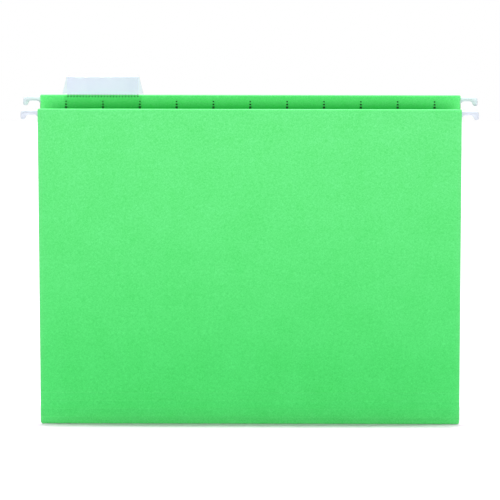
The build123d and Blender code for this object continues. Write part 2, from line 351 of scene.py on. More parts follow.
def shell_faces(kept):
    """Quads of a closed shell over a grid: the outer points are numbered first, then the inner ones.

    kept says which cells of the grid hold material. A kept cell has an outer and an inner face, and a wall
    joins the two where it meets an open cell or the end of the grid.
    """
    rows, columns = kept.shape[0] + 1, kept.shape[1] + 1
    index = np.arange(rows * columns).reshape(rows, columns)
    quads = cells(index)[kept]
    padded = np.pad(kept, 1)
    across = np.stack([index[:, :-1], index[:, 1:]], axis=-1)
    below, above = padded[:-1, 1:-1], padded[1:, 1:-1]
    along = np.stack([index[:-1], index[1:]], axis=-1)
    before, after = padded[1:-1, :-1], padded[1:-1, 1:]
    rims = np.concatenate(
        [
            across[above & ~below],
            across[below & ~above][:, ::-1],
            along[after & ~before][:, ::-1],
            along[before & ~after],
        ]
    )
    walls = np.concatenate([rims, rims[:, ::-1] + rows * columns], axis=1)
    return np.concatenate([quads[:, ::-1], quads + rows * columns, walls])


def tube_faces(rings, points_round):
    """Quads of a tube of rings, with each end closed by one face."""
    index = np.arange(rings * points_round).reshape(rings, points_round)
    quads = cells(np.hstack([index, index[:, :1]])).reshape(-1, 4)
    return quads.tolist() + [index[0, ::-1].tolist(), index[-1].tolist()]


def add_piece(name, points, faces, material, attributes=None):
    """A mesh piece with its place in its mesh, smooth over its curves and sharp at its corners."""
    mesh = bpy.data.meshes.new(name)
    mesh.from_pydata(points.reshape(-1, 3).tolist(), [], faces)
    for key, values in (attributes or {}).items():
        layer = mesh.attributes.new(key, "FLOAT", "POINT")
        layer.data.foreach_set("value", values.astype(np.float32).ravel())
    mesh.polygons.foreach_set("use_smooth", np.ones(len(mesh.polygons), bool))
    mesh.set_sharp_from_angle(angle=SHARP_ANGLE)
    if mesh.validate():
        raise RuntimeError(f"{name} has faces that are not whole")
    mesh.materials.append(material)
    piece = bpy.data.objects.new(name, mesh)
    bpy.context.scene.collection.objects.link(piece)
    return piece


def add_shell(name, mid, normal, thickness, side, material, kept=None, attributes=None):
    """A sheet of even thickness about a grid of middle points, in its cover's place."""
    if kept is None:
        kept = np.ones((mid.shape[0] - 1, mid.shape[1] - 1), bool)
    both = np.stack([mid + normal * thickness / 2, mid - normal * thickness / 2])
    faces = shell_faces(kept)
    if side < 0:
        faces = faces[:, ::-1]
    shape = (2, *mid.shape[:2])
    doubled = {key: np.broadcast_to(values, shape) for key, values in (attributes or {}).items()}
    return add_piece(name, stand(both, side), faces.tolist(), material, doubled)


def new_material(name):
    """A node material, its tree and its shader."""
    material = bpy.data.materials.new(name)
    material.use_nodes = True
    return material, material.node_tree, material.node_tree.nodes["Principled BSDF"]


def feed(tree, node, values):
    """Sets each socket of a node to its number or colour, or links it to another node's output."""
    for key, value in values.items():
        if isinstance(value, bpy.types.NodeSocket):
            tree.links.new(value, node.inputs[key])
        else:
            node.inputs[key].default_value = value


def add_node(tree, kind, values, **traits):
    """The outputs of a new node with its traits set and its sockets fed."""
    node = tree.nodes.new(kind)
    for key, trait in traits.items():
        setattr(node, key, trait)
    feed(tree, node, values)
    return node.outputs


def noise(tree, scale, detail=3.0, roughness=0.5, stretch=(1.0, 1.0, 1.0), turn=0.0):
    """Noise on the piece's own coordinates, drawn out by stretch and turned about y.

    scale is in features per metre.
    """
    place = add_node(tree, "ShaderNodeTexCoord", {})["Object"]
    drawn = {"Vector": place, "Scale": stretch, "Rotation": (0.0, turn, 0.0)}
    vector = add_node(tree, "ShaderNodeMapping", drawn, vector_type="TEXTURE")["Vector"]
    texture = {"Vector": vector, "Scale": scale, "Detail": detail, "Roughness": roughness}
    return add_node(tree, "ShaderNodeTexNoise", texture)["Fac"]


def attribute(tree, name):
    """A value that the piece carries at its points."""
    return add_node(tree, "ShaderNodeAttribute", {}, attribute_name=name)["Fac"]


def spread(tree, value, low, high, start=0.3, end=0.7):
    """A value from start to end stretched from low to high, and held there."""
    limits = {"Value": value, "From Min": start, "From Max": end, "To Min": low, "To Max": high}
    return add_node(tree, "ShaderNodeMapRange", limits)["Result"]


def weigh(tree, *terms):
    """The sum of values, each times its weight."""
    total = 0.0
    for value, weight in terms:
        sums = {0: value, 1: weight, 2: total}
        total = add_node(tree, "ShaderNodeMath", sums, operation="MULTIPLY_ADD")["Value"]
    return total


def mix(tree, factor, first, second):
    """From the first colour to the second by a factor. Each colour is a tuple or a socket."""
    tones = {MIX_FACTOR: factor, MIX_FIRST: first, MIX_SECOND: second}
    return add_node(tree, "ShaderNodeMix", tones, data_type="RGBA")[MIX_RESULT]


def bump(tree, shader, height, strength, distance):
    """Relief of the surface from a height."""
    relief = {"Strength": strength, "Distance": distance, "Height": height}
    feed(tree, shader, {"Normal": add_node(tree, "ShaderNodeBump", relief)["Normal"]})


def shade(tone, factor=1.0):
    """A colour made lighter or darker, by one factor or by one for each of its parts."""
    return (*np.minimum(1.0, np.multiply(tuple(tone), factor)).tolist(), 1.0)


def clouded(tree, value, tone, dark, light):
    """A colour that a value takes from darker to lighter."""
    return mix(tree, spread(tree, value, 0.0, 1.0), shade(tone, dark), shade(tone, light))


def card_finish(card):
    """Dyed card: cloudy pulp, fine fibres both ways, a toothy surface and paler wear at edges and folds, with a
    painted highlight on the top crest, painted light up the sheet and along the bottom fold, and painted shade
    down the flap and in the sleeve.
    """
    material, tree, shader = new_material("dyed_card")
    cloud = noise(tree, scale=45.0)
    grain = noise(tree, scale=1100.0, detail=4.0, roughness=0.65)
    fibre = noise(tree, scale=1500.0, roughness=0.6, stretch=FIBRE_STRETCH, turn=0.55)
    cross_fibre = noise(tree, scale=1500.0, roughness=0.6, stretch=FIBRE_STRETCH, turn=-0.8)
    pulp = weigh(tree, (cloud, 0.1), (grain, 0.56), (fibre, 0.17), (cross_fibre, 0.17))
    tooth = spread(tree, pulp, 0.0, 1.0, start=0.35, end=0.65)
    body, painted_light = (
        mix(tree, tooth, shade(tone, GRAIN_DARK), shade(tone, GRAIN_LIGHT))
        for tone in (card.face, card.painted_light)
    )
    # Wear at the edges and score lines, with a painted highlight on the top fold's crest
    wear = weigh(tree, (attribute(tree, "edge"), 0.22), (attribute(tree, "crease"), 0.05))
    # Painted light: the card turns to its lighter copy up the sheet and along the bottom fold
    tone = mix(tree, attribute(tree, "pale"), body, painted_light)
    tone = mix(tree, wear, tone, shade(card.wear_and_highlight))
    # Painted shade down the flap
    tone = mix(tree, weigh(tree, (attribute(tree, "deep"), 0.9)), tone, shade(card.deep))
    # Painted shade inside the sleeve
    tone = mix(tree, attribute(tree, "hidden"), tone, shade(card.sleeve))
    dull = spread(tree, pulp, 0.66, 0.82)
    feed(tree, shader, {"Base Color": tone, "Roughness": dull, "Specular IOR Level": 0.25})
    relief = weigh(tree, (grain, 0.6), (fibre, 0.2), (cross_fibre, 0.2))
    bump(tree, shader, relief, strength=0.35, distance=0.00006)
    return material


def coat_finish(hook):
    """Dipped plastic: a smooth pale coat with a faint ripple, greyed by painted shade at its tip, edges and root.
    """
    material, tree, shader = new_material("dipped_coat")
    ripple = noise(tree, scale=500.0, detail=2.0)
    scuff = noise(tree, scale=1600.0, roughness=0.7)
    # Painted shade, broken up by the scuff noise
    patches = {0: attribute(tree, "rub"), 1: spread(tree, scuff, 0.5, 1.0)}
    coat_shade = add_node(tree, "ShaderNodeMath", patches, operation="MULTIPLY")["Value"]
    tone = mix(tree, coat_shade, clouded(tree, ripple, hook.coat, 0.96, 1.03), shade(hook.coat_shade))
    dull = spread(tree, scuff, 0.24, 0.4)
    feed(tree, shader, {"Base Color": tone, "Roughness": dull, "Coat Weight": 0.25})
    bump(tree, shader, ripple, strength=0.12, distance=0.0001)
    return material


def steel_finish(hook):
    """Rolled steel strip: dark, made darker still as painted shade in the sleeve behind the slots, with fine lines
    along the rod.
    """
    material, tree, shader = new_material("rolled_steel")
    lines = noise(tree, scale=900.0, detail=4.0, roughness=0.6, stretch=(50.0, 1.0, 1.0))
    mill = noise(tree, scale=220.0)
    # Painted shade: the steel's colour is near black
    tone = clouded(tree, weigh(tree, (lines, 0.7), (mill, 0.3)), hook.steel, 0.7, 1.35)
    dull = spread(tree, lines, 0.38, 0.55)
    feed(tree, shader, {"Base Color": tone, "Roughness": dull, "Metallic": 1.0})
    bump(tree, shader, lines, strength=0.2, distance=0.00003)
    return material


def glue_finish(hook):
    """Dry glue: pale, uneven and dull."""
    material, tree, shader = new_material("dry_glue")
    beads = noise(tree, scale=420.0, detail=4.0, roughness=0.6)
    tone = clouded(tree, beads, hook.glue, 0.85, 1.08)
    feed(tree, shader, {"Base Color": tone, "Roughness": spread(tree, beads, 0.45, 0.7)})
    bump(tree, shader, beads, strength=0.4, distance=0.0001)
    return material


def film_finish(tab):
    """Clear film: a faint cool tint, glossy, with the slow ripple of drawn plastic."""
    material, tree, shader = new_material("clear_film")
    ripple = noise(tree, scale=90.0, detail=2.0, stretch=(1.0, 1.0, 2.5))
    haze = noise(tree, scale=700.0)
    tone = clouded(tree, ripple, tab.film, 0.98, 1.02)
    tone = mix(tree, attribute(tree, "lying"), tone, shade(tab.lying))
    # Painted shade round the punched holes, on the window's foot and the tongue's top
    tone = mix(tree, attribute(tree, "cut"), tone, shade(tab.cut))
    feed(tree, shader, {"Base Color": tone, "Roughness": spread(tree, haze, 0.02, 0.07)})
    feed(tree, shader, {"Transmission Weight": 1.0, "IOR": 1.46})
    bump(tree, shader, ripple, strength=0.1, distance=0.0003)
    return material


def label_finish(tab):
    """Label paper: cool white with short fibres and a soft tooth."""
    material, tree, shader = new_material("label_stock")
    fibre = noise(tree, scale=1500.0, detail=4.0, roughness=0.6, stretch=(4.0, 1.0, 1.0), turn=0.3)
    tooth = noise(tree, scale=2400.0)
    tone = clouded(tree, weigh(tree, (fibre, 0.5), (tooth, 0.5)), tab.paper, 0.95, 1.03)
    feed(tree, shader, {"Base Color": tone, "Roughness": spread(tree, tooth, 0.7, 0.85)})
    # Painted light: the label glows faintly, though it is no lamp
    feed(tree, shader, {"Emission Color": shade(tab.glow), "Emission Strength": 1.0})
    bump(tree, shader, tooth, strength=0.15, distance=0.00003)
    return material


def floor_finish(stage):
    """Plain pale board with the least of clouding."""
    material, tree, shader = new_material("pale_floor")
    tone = clouded(tree, noise(tree, scale=6.0, detail=2.0), stage.floor, 0.99, 1.01)
    feed(tree, shader, {"Base Color": tone, "Roughness": 0.9, "Specular IOR Level": 0.1})
    return material


def material_once(name, make, settings):
    """A finish that several pieces share, made for the first of them."""
    return bpy.data.materials.get(name) or make(settings)


def score_heights(card):
    """The z of each score line, up from the fold at an even pitch."""
    return card.first_score + np.arange(card.score_count) * card.score_pitch


def slot_sizes(card):
    """Width, lowest and highest z of each slot in a column: growing perforations, then the foot's.

    A perforation's width is its height times the ratio of its shape.
    """
    middles = CARD_TOP - card.perf_first - np.arange(card.perf_count) * card.perf_pitch
    sizes = np.linspace(card.perf_small, card.perf_large, card.perf_count)
    widths = np.append(card.perf_shape * sizes, card.slot_width)
    lows = np.append(middles - sizes / 2, CARD_TOP - card.foot_slot_top - card.foot_slot_height)
    highs = np.append(middles + sizes / 2, CARD_TOP - card.foot_slot_top)
    return widths, lows, highs


def half_width(distance, fall, card):
    """Half the card's width: a quarter circle at the bottom fold, a quarter ellipse each side of the top
    fold's crest, and a slope along the flap's ends.

    distance is measured up the card from the line of the bottom fold, and fall down the flap.
    """
    rounded = corner_cut(card.corner_round - distance, card.corner_round)
    crest = BEND_LENGTH + SHEET_LENGTH + FOLD_LENGTH / 2
    near = np.clip(1.0 - np.abs(distance - crest) / card.nick_height, 0.0, 1.0)
    nicked = card.nick_width * corner_cut(near, 1.0)
    flap_length = FOLD_CENTRE - (CARD_TOP - card.flap_depth)
    return EDGE - rounded - nicked - card.flap_taper * fall / flap_length


def fit_columns(columns, half):
    """The x of each grid point: columns kept in the middle, and drawn in near the ends to the half width."""
    pull = np.clip((np.abs(columns) - (EDGE - FIT_REACH)) / FIT_REACH, 0.0, 1.0)
    return columns - np.sign(columns) * pull * (EDGE - half[:, None])


def cover_rows(card):
    """Distances along the card from the sheet's foot: up the sheet, over the fold and down the flap.

    They crowd at the scores, round the fold, at the slots and in the joggle.
    """
    scores = score_heights(card) - SHEET_FOOT
    _, lows, highs = slot_sizes(card)
    flap = SHEET_LENGTH + FOLD_LENGTH + FOLD_CENTRE
    return ordered(
        np.linspace(0.0, SHEET_LENGTH, SHEET_ROWS),
        scores[:, None] + card.score_width * SCORE_STEPS,
        SHEET_LENGTH + FOLD_LENGTH * np.linspace(0.0, 1.0, FOLD_ROWS),
        SHEET_LENGTH + FOLD_LENGTH / 2 + card.nick_height * NICK_STEPS,
        flap - lows,
        flap - highs,
        flap - CARD_TOP + card.joggle_top + card.joggle_height * np.linspace(0.0, 1.0, JOGGLE_ROWS),
        flap - CARD_TOP + card.flap_depth,
    )


def cover_columns(card):
    """The x of the grid's columns: even steps, the two sides of every slot, and crowded ends."""
    centres = even_row(card.slot_count, card.slot_pitch)
    widths, _, _ = slot_sizes(card)
    even = np.linspace(-EDGE, EDGE, COVER_COLUMNS)
    return ordered(
        even[nearest(even, centres) > card.slot_width],
        centres[:, None] - widths / 2,
        centres[:, None] + widths / 2,
        EDGE_STEPS - EDGE,
        EDGE - EDGE_STEPS,
    )


def card_path(distance, card):
    """The card's middle line: straight up, a half circle over the rod, down, and a smooth step to the sheet.

    Returns y, z, the turn of the normal from 0 on the sheet to pi on the flap, and the fall down the flap.
    """
    turn = np.clip((distance - SHEET_LENGTH) / FOLD_RADIUS, 0.0, math.pi)
    fall = np.maximum(distance - SHEET_LENGTH - FOLD_LENGTH, 0.0)
    z = SHEET_FOOT + np.minimum(distance, SHEET_LENGTH) + FOLD_RADIUS * np.sin(turn) - fall
    below_top = CARD_TOP - FOLD_CENTRE + fall
    step = (GLUED_MID - FLAP_MID) * smooth((below_top - card.joggle_top) / card.joggle_height)
    y = SLEEVE_MID + FOLD_RADIUS * np.cos(turn) + np.where(fall > 0.0, step, 0.0)
    return y, z, turn, fall


def make_cover(name, side, card):
    """One cover of card as a grid of distance along its path by x, with holes for the slots.

    The sheet sinks in by a squared half wave up it times a half wave along it, and a Gaussian dip presses
    each score in.
    """
    distance = cover_rows(card)
    columns = cover_columns(card)
    y, z, turn, fall = card_path(distance, card)
    half = half_width(BEND_LENGTH + distance, fall, card)
    x = fit_columns(columns, half)
    on_sheet = turn == 0.0
    from_score = (z[:, None] - score_heights(card)) / card.score_width
    dips = np.exp(-(from_score**2)).sum(axis=1) * on_sheet
    wave = np.sin(math.pi * np.clip(z / (CARD_TOP - card.flap_depth), 0.0, 1.0)) ** 2 * on_sheet
    sink = card.bow * wave[:, None] * np.cos(math.pi * x / (2 * EDGE))
    mid = grid(x, (y - card.score_depth * dips)[:, None] - sink, z[:, None])
    normal = grid(0.0, np.cos(turn), np.sin(turn))[:, None, :]

    widths, lows, highs = slot_sizes(card)
    middle_z = (z[:-1] + z[1:])[:, None] / 2
    in_height = (middle_z > lows) & (middle_z < highs) & (fall[1:, None] > 0.0)
    middle_x = (columns[:-1] + columns[1:]) / 2
    off_centre = nearest(middle_x, even_row(card.slot_count, card.slot_pitch))
    in_width = off_centre[:, None] < widths / 2
    kept = ~(in_height[:, None, :] & in_width).any(axis=2)

    from_edge = half[:, None] - np.abs(x)
    # Painted shade: the inner face inside the sleeve is darkened, fading in from the ends
    in_sleeve = smooth((z - (CARD_TOP - card.joggle_top)) / SLEEVE_SHADE_RISE)[:, None]
    # Wear along the cut edges, with a painted highlight along the top fold's crest
    crest = np.exp(-(((turn - math.pi / 2) / CREST_TURN) ** 2)) * (turn > 0.0)
    # Painted light: lighter up the sheet towards the top, and along the bottom fold
    painted_light = np.clip((z - PAINTED_LIGHT_START) / (CARD_TOP - PAINTED_LIGHT_SHORT - PAINTED_LIGHT_START), 0.0, 1.0)
    # Painted shade: darker down the flap from the fold, lighter towards its ends
    deep = np.clip(fall / FLAP_SHADE_REACH, FLAP_SHADE_LEAST * (fall > 0.0), 1.0)[:, None]
    wear = {
        "edge": np.maximum(np.exp(-from_edge / card.edge_wear), CREST_WEAR_AND_HIGHLIGHT * crest[:, None]),
        "crease": dips[:, None],
        "pale": np.maximum(painted_light, card.fold_light * np.exp(-z / card.fold_reach))[:, None],
        "deep": deep * (1.0 - np.exp(-from_edge / FLAP_SHADE_REACH)),
        "hidden": INNER_FACE * in_sleeve * smooth((from_edge - SLEEVE_SHADE_INSET) / SLEEVE_SHADE_REACH),
    }
    material = material_once("dyed_card", card_finish, card)
    return add_shell(name, mid, normal, CARD, side, material, kept, wear)


def make_bend(name, side, card):
    """Half of the bottom fold: a short straight from a cover's foot, then an arc about the fold axis.

    Returns it with the points where the arc starts and ends.
    """
    turns = np.concatenate([np.zeros(LEAD_ROWS), np.linspace(0.0, BEND_TURN, BEND_ROWS)[1:]])
    rise = np.concatenate([np.linspace(SHEET_FOOT, 0.0, LEAD_ROWS), np.zeros(BEND_ROWS - 1)])
    distance = rise + SHEET_MID * (BEND_TURN - turns)
    columns = ordered(np.linspace(-EDGE, EDGE, BEND_COLUMNS), EDGE_STEPS - EDGE, EDGE - EDGE_STEPS)[::-1]
    half = half_width(distance, 0.0, card)
    x = fit_columns(columns, half)
    mid = grid(x, (SHEET_MID * np.cos(turns))[:, None], (rise - SHEET_MID * np.sin(turns))[:, None])
    normal = grid(0.0, np.cos(turns), -np.sin(turns))[:, None, :]
    wear = {
        "edge": np.exp(-(half[:, None] - np.abs(x)) / card.edge_wear),
        "crease": (turns / BEND_TURN)[:, None],
        # Painted light along the bottom fold
        "pale": card.fold_light * np.exp(-rise / card.fold_reach)[:, None],
    }
    material = material_once("dyed_card", card_finish, card)
    bend = add_shell(name, mid, normal, CARD, side, material, attributes=wear)
    start = stand(np.array([0.0, SHEET_MID, 0.0]), side)
    end = stand(np.array([0.0, SHEET_MID * math.cos(BEND_TURN), -SHEET_MID * math.sin(BEND_TURN)]), side)
    return bend, start, end


def rounded_rail(corners, radii, counts):
    """A line through corners, each but the ends rounded by a parabola that leaves the corner by its radius.

    counts gives the points of each straight and of each round, so that two rails match point for point.
    """
    corners = np.array(corners)
    runs = np.diff(corners, axis=0)
    steps = runs / np.linalg.norm(runs, axis=1, keepdims=True)
    radii = np.array(radii)[:, None]
    arrive = np.concatenate([corners[1:-1] - steps[:-1] * radii, corners[-1:]])
    leave = np.concatenate([corners[:1], corners[1:-1] + steps[1:] * radii])
    along, bent = (np.linspace(0.0, 1.0, number)[:, None] for number in counts)
    straights = leave[:, None] + (arrive - leave)[:, None] * along
    pull = 2 * bent * (1 - bent) * corners[1:-1, None]
    rounds = (1 - bent) ** 2 * arrive[:-1, None] + pull + bent**2 * leave[1:, None]
    pairs = [part for pair in zip(straights, rounds) for part in pair]
    return np.concatenate([*pairs, straights[-1]])


def distinct(*rails):
    """Rails without the points where every rail stands still."""
    moved = sum(np.linalg.norm(np.diff(rail, axis=0), axis=1) for rail in rails) > STILL
    return [rail[np.append(True, moved)] for rail in rails]


def make_hook(name, side, hand, hook):
    """One hook's coat: a rounded section carried along the arm, round the shoulder and down the tip.

    Two rails in the rod's plane bound it. At each step the section is a rectangle with round corners between
    them, whose corner radius closes up with the rails at the tip's end.
    """
    root, out = EDGE - hook.tuck, HOOK_HIGH[0]
    top, foot = HOOK_HIGH[2], HOOK_LOW[2]
    end = (out - TIP_END * hook.tip_width, foot)
    outer_corners = [(root, top), (out, top), (out, foot), end]
    inner_corners = [(root, SEAT_Z), (out - hook.tip_root, SEAT_Z), (out - hook.tip_width, foot), end]
    outer = rounded_rail(outer_corners, [hook.shoulder, hook.tip_cut], RAIL_POINTS)
    inner = rounded_rail(inner_corners, [hook.notch, hook.tip_round], RAIL_POINTS)
    outer, inner = distinct(outer, inner)
    from_card = inner[:, 0] - HOOK_LOW[0]
    spread_down = np.exp(-np.maximum(from_card, 0.0) / hook.flare_reach)
    inner[:, 1] -= hook.flare * spread_down
    middle = (outer + inner) / 2
    across = (outer - inner) / 2
    reach = np.linalg.norm(across, axis=1)
    last = np.nonzero(reach > TIP_STOP * hook.edge_round)[0][-1] + 1
    middle, across, reach = middle[:last], across[:last] / reach[:last, None], reach[:last, None]

    corner = (np.arange(SECTION_POINTS) + 0.5) * (2 * math.pi / SECTION_POINTS)
    lean_out, lean_up = np.cos(corner), np.sin(corner)
    closing = np.clip(reach / hook.tip_round, 0.0, 1.0)
    thick = (HOOK_HIGH[1] - HOOK_LOW[1]) / 2 * (TIP_THIN + (1.0 - TIP_THIN) * np.sqrt(closing))
    swell = smooth((middle[:, :1] - HOOK_LOW[0]) / hook.edge_round)
    thick = hook.tuck_thick / 2 + (thick - hook.tuck_thick / 2) * swell
    radius = np.minimum(hook.edge_round, reach)
    offset = np.sign(lean_out) * (reach - radius) + radius * lean_out
    depth = np.sign(lean_up) * (thick - radius) + radius * lean_up
    plane = middle[:, None, :] + across[:, None, :] * offset[:, :, None]
    level = (HOOK_LOW[1] + HOOK_HIGH[1]) / 2 + depth
    points = grid(hand * plane[..., 0], level, plane[..., 1])

    faces = tube_faces(*offset.shape)
    if side * hand > 0:
        faces = [face[::-1] for face in faces]
    # Painted shade: the coat is greyed towards the tip's end, under the root where it meets the card, and along
    # its upper and lower edges
    drop = np.clip((SEAT_Z - plane[..., 1]) / (SEAT_Z - foot), 0.0, 1.0)
    under_root = spread_down[:last, None] * (lean_out < 0.0)
    rub = np.maximum(hook.tip_shade * drop**3, hook.root_shade * under_root)
    rub = np.maximum(rub, hook.edge_shade * lean_out**2)
    material = material_once("dipped_coat", coat_finish, hook)
    return add_piece(name, stand(points, side), faces, material, {"rub": rub})


def punch_away(x, tab):
    """Distance along the bend line from each x to the nearest punched hole's middle."""
    return nearest(x - TAB_X, even_row(tab.punch_count, tab.punch_pitch))


def hole_shades(x, rise, tab):
    """How much painted shade each point takes round a punched hole: 1 near the hole, fading to 0 at the rim's
    width.
    """
    from_middle = np.hypot(punch_away(x, tab), rise)
    return np.clip(HOLE_SHADE_STRENGTH * (1.0 - (from_middle - tab.punch_width / 2) / tab.punch_rim), 0.0, 1.0)


def punch_rows(tab):
    """Steps away from the bend line: the line itself, the middle of a hole's rim, and the rim's end."""
    return np.append(0.0, tab.punch_width / 2 + tab.punch_rim * RIM_STEPS)


def film_grid(half, full, tab):
    """The grid across the film: columns as shares of the half width, their x, and the first row's scallops.

    The columns fan out at every punched hole and crowd at the ends. A scallop is a hole's half circle.
    """
    hole = tab.punch_width / 2
    reach = np.concatenate([hole * HOLE_STEPS, hole + tab.punch_rim * RIM_STEPS])
    fan = np.concatenate([-reach, reach])
    holes = even_row(tab.punch_count, tab.punch_pitch)
    shares = ordered(holes[:, None] + fan, full - FILM_STEPS, FILM_STEPS - full) / full
    x = TAB_X + half[:, None] * shares
    scallop = np.zeros_like(x)
    scallop[0] = np.sqrt(np.maximum(hole**2 - punch_away(x[0], tab) ** 2, 0.0))
    return shares, x, scallop


def make_window(name, tab):
    """The tab's window: film up the front, round a half circle and down the back, as wide as a trapezoid.

    Its foot is scalloped by half of every punched hole, and both walls bulge a little away from the label.
    """
    front = WINDOW_LOW[1] + tab.wall / 2
    back = WINDOW_HIGH[1] - tab.wall / 2
    radius = (back - front) / 2
    foot, top = WINDOW_LOW[2], WINDOW_HIGH[2]
    centre = top - tab.wall / 2 - radius
    wall = np.linspace(foot + FILM_START, centre - FRONT_STOP, FRONT_ROWS)
    corner = np.linspace(centre - CORNER_START, centre, CORNER_ROWS)
    turn = np.linspace(0.0, math.pi, ROUND_ROWS)[1:-1]
    up = np.concatenate([foot + punch_rows(tab), wall, corner])
    down = np.concatenate([corner[::-1], np.linspace(centre - BACK_START, LABEL_LOW[2], BACK_ROWS)])
    z = np.concatenate([up, centre + radius * np.sin(turn), down])
    rounds = np.concatenate([np.zeros(len(up)), turn, np.full(len(down), math.pi)])
    y = (front + back) / 2 - radius * np.cos(rounds)

    foot_half = (WINDOW_HIGH[0] - WINDOW_LOW[0]) / 2
    slope = (tab.top_width / 2 - foot_half) / (top - foot)
    half = foot_half + slope * (z - foot) - corner_cut(z - (top - tab.corner), tab.corner)
    shares, x, scallop = film_grid(half, foot_half, tab)
    bulge = tab.bulge * np.sin(math.pi * (z - foot) / (top - foot))[:, None] * (1 - shares**2)
    mid = grid(x, y[:, None] - np.cos(rounds)[:, None] * bulge, z[:, None] + scallop)
    normal = grid(0.0, -np.cos(rounds), np.sin(rounds))[:, None, :]
    on_front = (rounds == 0.0)[:, None]
    # Painted shade round the punched holes
    cut = {"cut": (hole_shades(x, mid[..., 2] - foot, tab) * on_front)[:, ::-1]}
    material = material_once("clear_film", film_finish, tab)
    return add_shell(name, mid[:, ::-1], normal, tab.wall, 1, material, attributes=cut)


def make_tongue(name, tab):
    """The tab's tongue: film down the flap with round lower corners and a scalloped top."""
    front = TONGUE_LOW[1] + tab.wall / 2
    top, foot = TONGUE_HIGH[2], TONGUE_LOW[2]
    turn = np.linspace(0.0, math.pi / 2, TONGUE_ROUND_ROWS)[1:]
    z = np.concatenate(
        [
            top - tab.punch_drop * punch_rows(tab),
            np.linspace(top - FILM_START, foot + tab.tongue_corner, TONGUE_ROWS),
            foot + tab.tongue_corner * (1 - np.sin(turn)),
        ]
    )
    full = (TONGUE_HIGH[0] - TONGUE_LOW[0]) / 2
    half = full - corner_cut(foot + tab.tongue_corner - z, tab.tongue_corner)
    _, x, scallop = film_grid(half, full, tab)
    mid = grid(x, front, z[:, None] - scallop)
    normal = np.array([0.0, -1.0, 0.0])
    below = (top - mid[..., 2]) / tab.punch_drop
    # Painted shade round the punched holes
    cut = {"cut": hole_shades(x, below, tab), "lying": np.ones_like(x)}
    material = material_once("clear_film", film_finish, tab)
    return add_shell(name, mid, normal, tab.wall, 1, material, attributes=cut)


def make_foot(name, x_middle, tab):
    """A foot of the tongue: a strip of film that runs back through its slot, a quarter round and down."""
    front = TONGUE_LOW[1] + tab.wall
    back = TONGUE_HIGH[1] - tab.foot_thick / 2
    level = CARD_TOP - tab.foot_top
    turn = np.linspace(0.0, math.pi / 2, FOOT_ROWS)
    y = np.concatenate([[front], back - FOOT_RADIUS + FOOT_RADIUS * np.sin(turn), [back]])
    z = np.concatenate([[level], level - FOOT_RADIUS + FOOT_RADIUS * np.cos(turn), [level - tab.foot_rise]])
    normal_turn = np.concatenate([[0.0], turn, [math.pi / 2]])
    x = x_middle + tab.foot_width * np.linspace(-0.5, 0.5, FOOT_COLUMNS)
    mid = grid(x[::-1], y[:, None], z[:, None])
    normal = grid(0.0, np.sin(normal_turn), np.cos(normal_turn))[:, None, :]
    material = material_once("clear_film", film_finish, tab)
    return add_shell(name, mid, normal, tab.foot_thick, 1, material)


def make_label(name, tab):
    """The blank label: a strip of paper against the front film, with half a wave of curl up its height."""
    foot = CARD_TOP + tab.label_foot
    x = np.linspace(LABEL_LOW[0], LABEL_HIGH[0], LABEL_COLUMNS)
    rise = np.linspace(0.0, 1.0, LABEL_ROWS)
    flat = WINDOW_LOW[1] + tab.wall + tab.label_gap + tab.label_thick / 2
    level = flat - tab.label_curl * np.sin(math.pi * rise)
    z = foot + (LABEL_HIGH[2] - foot) * rise
    mid = grid(x[::-1], level[:, None], z[:, None])
    material = material_once("label_stock", label_finish, tab)
    return add_shell(name, mid, np.array([0.0, -1.0, 0.0]), tab.label_thick, 1, material)


def aim(subject, place, target):
    """Turns a lamp or camera at a place towards a target."""
    subject.location = place
    subject.rotation_mode = "QUATERNION"
    subject.rotation_quaternion = (Vector(target) - Vector(place)).to_track_quat("-Z", "Y")


def add_lamp(name, place, target, width, height, watts):
    """A soft rectangular lamp."""
    data = bpy.data.lights.new(name, "AREA")
    data.shape = "RECTANGLE"
    data.size = width
    data.size_y = height
    data.energy = watts
    lamp = bpy.data.objects.new(name, data)
    bpy.context.scene.collection.objects.link(lamp)
    lamp.visible_camera = False
    aim(lamp, place, target)


def make_world(stage):
    """Even light from all round, seen as plain white, also through the film."""
    world = bpy.data.worlds.new("studio")
    world.use_nodes = True
    tree = world.node_tree
    light = tree.nodes["Background"]
    feed(tree, light, {"Color": WHITE, "Strength": stage.ambient})
    seen = add_node(tree, "ShaderNodeBackground", {"Color": WHITE})["Background"]
    ray = add_node(tree, "ShaderNodeLightPath", {})
    rays = {0: ray["Is Camera Ray"], 1: ray["Is Transmission Ray"]}
    straight = add_node(tree, "ShaderNodeMath", rays, operation="MAXIMUM")["Value"]
    choice = {0: straight, 1: light.outputs["Background"], 2: seen}
    surface = add_node(tree, "ShaderNodeMixShader", choice)["Shader"]
    feed(tree, tree.nodes["World Output"], {"Surface": surface})
    bpy.context.scene.world = world


def make_floor(stage):
    """A wide flat floor just under the bottom fold."""
    reach = np.linspace(-stage.floor_reach, stage.floor_reach, FLOOR_POINTS)
    level = FOLD_AXIS[2] - SHEET_MID - CARD / 2 - stage.floor_gap
    points = grid(reach, (reach + stage.floor_back)[:, None], level)
    index = np.arange(FLOOR_POINTS**2).reshape(FLOOR_POINTS, FLOOR_POINTS)
    return add_piece("floor", points, cells(index).reshape(-1, 4).tolist(), floor_finish(stage))


